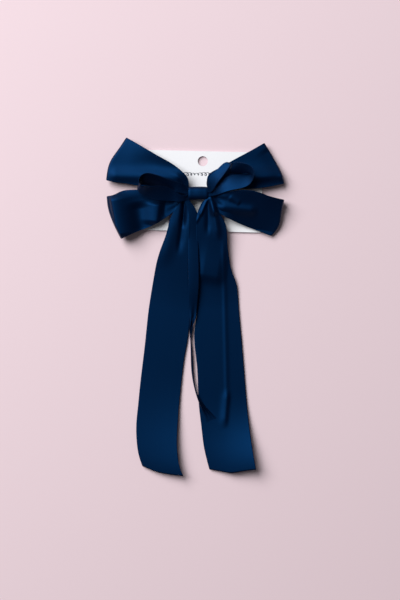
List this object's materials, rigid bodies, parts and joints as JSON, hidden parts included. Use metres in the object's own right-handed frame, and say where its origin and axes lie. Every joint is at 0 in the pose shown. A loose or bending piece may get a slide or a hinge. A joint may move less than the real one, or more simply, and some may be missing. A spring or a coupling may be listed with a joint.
{
  "type": "ribbon hair bow",
  "caption": "Layered satin ribbon hair bow with long tails on a sprung steel hair barrette, clipped to a plain slotted display card.",
  "frame": {"origin": "on the underside of the clasp arm, straight below the middle of the knot", "axes": "+Z out of the bow's face, +Y towards the top of the card and away from the tails, +X to the right seen from the front"},
  "size_m": [0.1789, 0.3369, 0.0313],
  "materials": {
    "satin_ribbon": "woven satin, navy",
    "sewing_thread": "spun thread, navy",
    "wool_felt": "pressed felt, navy",
    "barrette_steel": "nickel-plated spring steel, lightly brushed",
    "white_board": "smooth white coated board"
  },
  "bodies": {
    "bow": {"rear_loops": "satin_ribbon", "front_loops": "satin_ribbon", "inner_loops": "satin_ribbon", "tail_gather": "satin_ribbon", "knot_wrap": "satin_ribbon", "gathering_thread": "sewing_thread", "wrap_stitches": "sewing_thread", "felt_pad": "wool_felt", "barrette_plate": "barrette_steel", "tension_bar": "barrette_steel", "hinge_pin": "barrette_steel"},
    "clasp": {"clasp_arm": "barrette_steel"},
    "card": {"display_card": "white_board"},
    "left_tail_ribbon": {"left_tail": "satin_ribbon"},
    "right_tail_ribbon": {"right_tail": "satin_ribbon", "inner_tail": "satin_ribbon"}
  },
  "joints": [
    {"name": "clasp_hinge", "type": "hinge", "parent": "bow", "child": "clasp", "pos_m": [-0.0245, 0, 0.0032], "axis": [0, 1, 0], "range_deg": [0, 75]},
    {"name": "card_slide", "type": "slide", "parent": "bow", "child": "card", "axis": [0.0227, 0.9997, 0], "range_m": [0, 0.09]},
    {"name": "left_tail_lift", "type": "hinge", "parent": "bow", "child": "left_tail_ribbon", "pos_m": [-0.0155, -0.0083, 0.01405], "axis": [-1, 0, 0], "range_deg": [0, 75]},
    {"name": "right_tail_lift", "type": "hinge", "parent": "bow", "child": "right_tail_ribbon", "pos_m": [0.014, -0.0083, 0.01405], "axis": [-1, 0, 0], "range_deg": [0, 75]}
  ]
}
